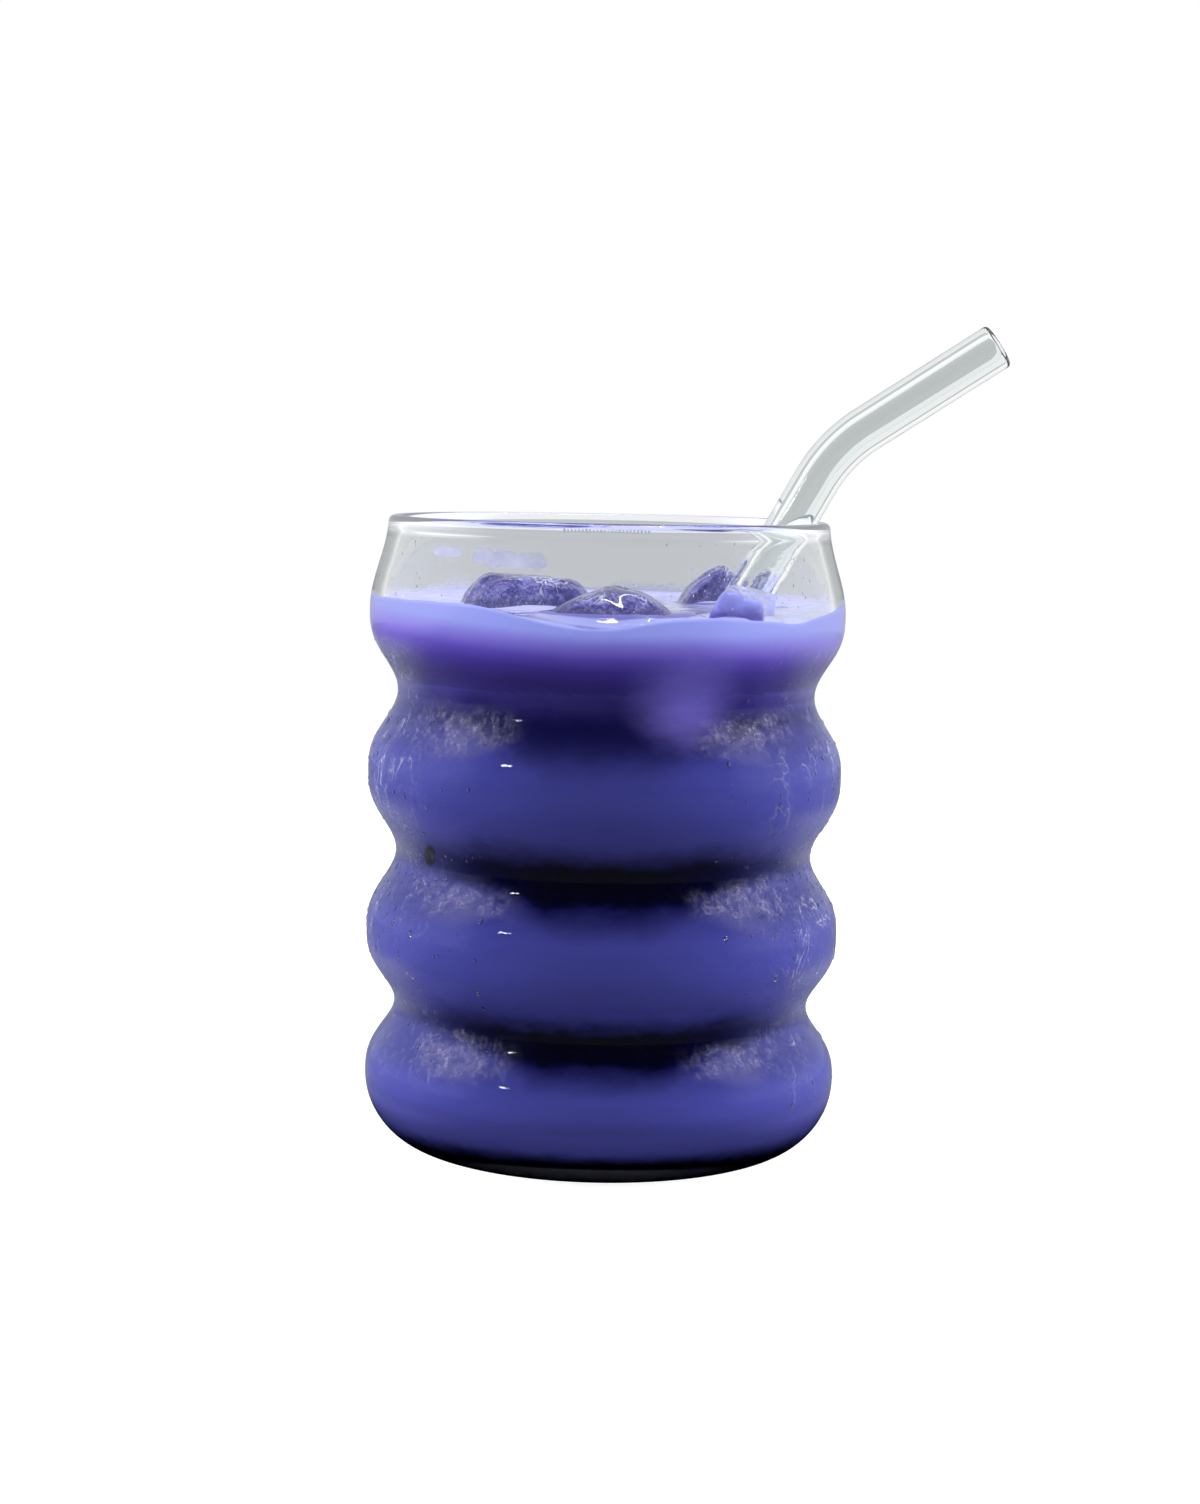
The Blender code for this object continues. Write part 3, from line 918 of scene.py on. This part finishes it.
def makeDrops(material):
    # one low dome, copied over the outside: around and up the wall, with its own size and sag
    draw = np.random.default_rng(wetness["seed"])
    count = wetness["drops"]
    side = np.where(draw.random(count) < 0.5, -1.0, 1.0)
    angle = np.radians(side * np.clip(draw.normal(72, 22, count), 30, 150))
    height = np.clip(draw.normal(49, 16, count), 12, 88) * mm
    low, high = wetness["dropRadius"]
    size = low + (high - low) * draw.random(count) ** 3.0
    # specks on the neck and a row of beads under the lip
    specks = wetness["specks"]
    angle[:specks] = np.radians(draw.choice(wetness["speckAngles"], specks)
                                + draw.normal(0, 9, specks))
    height[:specks] = draw.uniform(96, 106.5, specks) * mm
    size[:specks] = draw.uniform(0.08, 0.2, specks) * mm
    beads = specks + wetness["beads"]
    angle[specks:beads] = np.radians(np.linspace(-11, 9.5, beads - specks))
    height[specks:beads] = 108.3 * mm
    size[specks:beads] = draw.uniform(0.14, 0.2, beads - specks) * mm
    sag = 1.0 + 0.7 * draw.random(count) ** 2
    rings = np.radians([0, 28, 56])
    columns = 8
    turn = fullTurn(columns)
    dome = np.stack([
        np.cos(rings)[:, None] * np.cos(turn), np.cos(rings)[:, None] * np.sin(turn),
        np.sin(rings)[:, None] * np.ones(columns)], axis=-1).reshape(-1, 3)
    dome = np.concatenate([dome, [[0, 0, 0], [0, 0, 1]]])
    faces = cappedFaces(len(rings), columns)
    radius = outerRadius(height)
    slope = (outerRadius(height + 0.05 * mm) - outerRadius(height - 0.05 * mm)) / (0.1 * mm)
    out = np.stack([np.sin(angle), -np.cos(angle), -slope], axis=-1)
    out /= np.linalg.norm(out, axis=1, keepdims=True)
    around = np.stack([np.cos(angle), np.sin(angle), np.zeros(count)], axis=-1)
    upward = np.cross(out, around)
    centre = np.stack([radius * np.sin(angle), -radius * np.cos(angle), height], axis=-1)
    centre -= out * 0.02 * mm
    points = (centre[:, None]
              + dome[None, :, :1] * (around * size[:, None])[:, None]
              + dome[None, :, 1:2] * (upward * (size * sag)[:, None])[:, None]
              + dome[None, :, 2:] * (out * (size * wetness["dropHeight"])[:, None])[:, None])
    allFaces = faces[None] + (np.arange(count) * len(dome))[:, None, None]
    turnOutward(meshPiece("waterDrops", points, allFaces.reshape(-1, 3), material))
    carried("waterDrops")


def filmFinish():
    # a thin film of the drink, thinning out at its edges
    finish = Finish("drinkFilm")
    spot, across, along, up = finish.place()
    cover = finish.carriedValue("cover")
    grain = finish.noise(spot, 700.0, 4.0, 0.6)
    alpha = finish.ease(cover + grain * 0.5 - 0.25, 0.25, 0.75) * 0.62
    back = finish.ease(along, -25 * mm, 10 * mm)
    tint = finish.mixColour(back, wetness["film"], wetness["filmBack"])
    shader = finish.principled({
        "Base Color": finish.mixColour(grain, tint, wetness["filmPale"]),
        "Roughness": 0.2,
        "Alpha": alpha,
    })
    return finish.done(shader)


def filmPiece(name, angle, height, cover, material):
    # a patch of the neck's inside that carries its cover: 1 full film, 0 none
    radius = innerRadius(height) - 0.04 * mm
    points = np.stack([radius * np.sin(angle), -radius * np.cos(angle),
                       height * np.ones_like(angle)], axis=-1)
    faces = gridFaces(*cover.shape, wrapColumns=False)
    meshPiece(name, points, faces, material, {"cover": cover})
    carried(name, slot="drink")


def makeFilm(material):
    # smears with a scalloped lower edge, and a film that hangs over the level at the back
    angle = np.radians(np.linspace(-54, -8, 120))[None]
    height = np.linspace(99.5, 106.5, 44)[:, None] * mm
    cover = np.zeros((height.size, angle.size))
    scallop = 0.45 * np.abs(np.sin(np.degrees(angle) * 0.55 + 0.4))
    for middle, level, halfWidth, halfHeight in wetness["smears"]:
        wide = ((np.degrees(angle) - middle) / halfWidth) ** 4
        rise = (height / mm - level) / halfHeight
        tall = np.where(rise > 0, rise ** 2, (rise * (1 + scallop)) ** 4)
        cover = np.maximum(cover, np.exp(-wide - tall))
    filmPiece("drinkSmears", angle, height, cover, material)
    first, last, fade = 35, 325, 30
    degrees = np.linspace(first, last, 300)[None]
    angle = np.radians(degrees)
    height = np.linspace(94.6, 99.6, 40)[:, None] * mm
    foot = drinkLevel + contactHeight(np.degrees(np.arctan2(np.sin(angle), np.cos(angle))))
    reach = 1.9 + 0.8 * np.sin(angle * 5 + 1) + 0.5 * np.sin(angle * 13) + 0.3 * np.sin(angle * 29)
    rise = (height - foot) / mm
    ends = np.clip((degrees - first) / fade, 0, 1) * np.clip((last - degrees) / fade, 0, 1)
    cover = np.exp(-np.clip(rise, 0, None) / reach) * ends * 0.75
    filmPiece("drinkFilm", angle, height, cover, material)


# Studio
studio = {
    "cameraDistance": 480 * mm,
    "cameraHeight": 121 * mm,
    "cameraSide": -0.87 * mm,
    "pitch": 6.236,
    "roll": 1.15,
    "focalPixels": 2750.0,
    "longSidePixels": 1504.0,
    "sensor": 36.0,
}
worldLook = {
    # what glass bends: walls at the front, at the sides and behind, and the backdrop
    "frontWall": (0.82, 0.83, 0.85),
    "sideWall": (1.0, 1.0, 1.02),
    "backWall": (1.05, 1.05, 1.05),
    "backdrop": (0.555, 0.572, 0.578),
    # what surfaces mirror: a dark front, a grey back and two pale panels overhead
    "mirrorFront": (0.006, 0.006, 0.015),
    "mirrorBack": (0.42, 0.44, 0.46),
    "panel": (1.9, 1.85, 2.2),
}
floorLook = {
    "rings": (0.2, 0.5, 0.9),
    "drop": 0.2 * mm,
    # painted shadow on the floor under the glass: what glass bends, and what surfaces mirror, see
    # the floor lit only outside these radii
    "bentShadowEdge": (31 * mm, 41 * mm),     # glass bends light from outside this radius
    "mirroredShadowEdge": (40 * mm, 62 * mm),
    # front and back, as bent by glass and as mirrored
    "bent": ((0.42, 0.43, 0.45), (0.92, 0.93, 0.94)),
    "mirrored": ((0.08, 0.082, 0.088), (0.26, 0.27, 0.28)),
    "grey": (0.5, 0.5, 0.5, 1),
    "glow": 0.88,
}
lights = {
    # direction, distance, size, power, mirrored or not, lights matt surfaces or not
    "leftSoftbox": ((-0.80, 0.02, 0.60), 0.6, (0.45, 0.35), 4.4, False, True),
    "rightSoftbox": ((0.80, 0.02, 0.60), 0.6, (0.45, 0.35), 4.4, False, True),
    "overheadStrip": ((0.1, 0.12, 1.0), 0.7, (0.30, 0.03), 0.6, True, False),
    "smallLamp": ((-0.66, -0.55, 0.50), 0.6, (0.050, 0.010), 0.08, True, False),
    "backStrip": ((0.22, 0.50, 0.84), 0.7, (0.22, 0.02), 0.16, True, False),
}


def makeCamera():
    # lens = focal length in pixels / long side in pixels * sensor; pitched down and rolled
    data = bpy.data.cameras.new("viewCamera")
    data.sensor_fit = "AUTO"
    data.sensor_width = studio["sensor"]
    data.lens = studio["focalPixels"] / studio["longSidePixels"] * studio["sensor"]
    data.clip_start = 0.01
    data.clip_end = 20.0
    camera = bpy.data.objects.new("viewCamera", data)
    bpy.context.scene.collection.objects.link(camera)
    turn = (Matrix.Rotation(math.radians(90 - studio["pitch"]), 4, "X")
            @ Matrix.Rotation(math.radians(studio["roll"]), 4, "Z"))
    spot = (studio["cameraSide"], -studio["cameraDistance"], studio["cameraHeight"])
    camera.matrix_world = Matrix.Translation(spot) @ turn
    bpy.context.scene.camera = camera


def makeWorld():
    # white to the eye; what glass bends sees pale walls, what it mirrors sees a dark front
    world = bpy.data.worlds.new("studio")
    bpy.context.scene.world = world
    finish = Finish("studio", world)
    seen = finish.node("ShaderNodeLightPath", output="Is Camera Ray")
    bent = finish.node("ShaderNodeLightPath", output="Is Transmission Ray")
    way, across, along, up = finish.place("Generated")
    sides = finish.ease(abs(across), 0.25, 0.8)
    behind = finish.ease(along, -0.35, 0.25)
    backdrop = finish.ease(along, 0.80, 0.90)
    pale = finish.mixColour(backdrop, worldLook["backWall"], worldLook["backdrop"])
    dim = finish.mixColour(sides, worldLook["frontWall"], worldLook["sideWall"])
    through = finish.mixColour(behind, dim, pale)
    back = finish.ease(along + finish.ease(abs(across), 0.55, 0.95) * 0.6, -0.02, 0.42)
    mirrored = finish.mixColour(back, worldLook["mirrorFront"], worldLook["mirrorBack"])
    ahead = abs(across) * 0.73 + up * 0.68 - abs(along) * 0.15
    panel = finish.ease(ahead, 0.90, 0.99) * 0.55
    mirrored = finish.mixColour(panel, mirrored, worldLook["panel"])
    other = finish.mixColour(bent, mirrored, through)
    walls = finish.node("ShaderNodeBackground", None, {0: other, 1: 1.0})
    white = finish.node("ShaderNodeBackground", None, {0: (1, 1, 1, 1), 1: 1.0})
    both = finish.node("ShaderNodeMixShader", None, {0: seen, 1: walls, 2: white})
    finish.node("ShaderNodeOutputWorld", None, {0: both})
    world.cycles.sampling_method = "NONE"


def makeFloor():
    # a wide disc just under the foot, white to the eye with a faint shadow, and a painted shadow
    # under the glass for what glass bends and mirrors
    finish = Finish("paleFloor")
    seenRay = finish.node("ShaderNodeLightPath", output="Is Camera Ray")
    bentRay = finish.node("ShaderNodeLightPath", output="Is Transmission Ray")
    seen = finish.node("ShaderNodeBsdfDiffuse", None, {0: floorLook["grey"]})
    glow = finish.node("ShaderNodeEmission", None, {0: (1, 1, 1, 1), 1: floorLook["glow"]})
    bright = finish.node("ShaderNodeAddShader", None, {0: seen, 1: glow})
    spot, across, along, up = finish.place()
    away = finish.node("ShaderNodeVectorMath", {"operation": "LENGTH"}, {0: spot}, "Value")
    # painted shadow under the glass, for bent and for mirrored rays
    near = finish.ease(away, *floorLook["bentShadowEdge"])
    toBack = finish.ease(along, -60 * mm, 60 * mm)
    ground = finish.mixColour(toBack, *floorLook["bent"])
    shine = finish.mixColour(toBack, *floorLook["mirrored"])
    clearOf = finish.ease(away, *floorLook["mirroredShadowEdge"])
    bent = finish.node("ShaderNodeEmission", None, {0: ground, 1: near})
    mirrored = finish.node("ShaderNodeEmission", None, {0: shine, 1: clearOf})
    other = finish.node("ShaderNodeMixShader", None, {0: bentRay, 1: mirrored, 2: bent})
    mixed = finish.node("ShaderNodeMixShader", None, {0: seenRay, 1: other, 2: bright})
    material = finish.done(mixed)
    radius = np.array(floorLook["rings"])
    height = -floorLook["drop"]
    columns = 64
    rings = turnedPoints(radius, np.full(len(radius), height), fullTurn(columns)).reshape(-1, 3)
    points = np.concatenate([rings, [[0, 0, height]]])
    faces = cappedFaces(len(radius), columns, lastPole=False)
    meshPiece("studioFloor", points, faces[:, ::-1], material)


def makeLight(name, way, distance, size, power, mirrored, diffuse):
    # an area light aimed at the glass; it may be left out of mirror images or of soft light
    aim = Vector((0, 0, 60 * mm))
    spot = aim + Vector(way).normalized() * distance
    data = bpy.data.lights.new(name, "AREA")
    data.shape = "RECTANGLE"
    data.size, data.size_y = size
    data.energy = power
    light = bpy.data.objects.new(name, data)
    bpy.context.scene.collection.objects.link(light)
    turn = (aim - spot).to_track_quat("-Z", "Y").to_matrix().to_4x4()
    light.matrix_world = Matrix.Translation(spot) @ turn
    light.visible_glossy = mirrored
    light.visible_diffuse = diffuse
    light.visible_transmission = False
    light.visible_camera = False


bpy.context.scene.view_settings.view_transform = "Standard"
makeCamera()
makeWorld()
makeFloor()
for lightName, setting in lights.items():
    makeLight(lightName, *setting)
print("camera, floor and lights in place")
makeCup(glassFinish())
print("tumbler made")
makeDrink(drinkFinish())
print("drink made")
makeStraw(strawFinish())
print("straw made")
makeIce(iceFinish())
print("ice made")
makeMist(mistFinish())
makeDrops(waterFinish())
makeFilm(filmFinish())
print("condensation and splashes made")
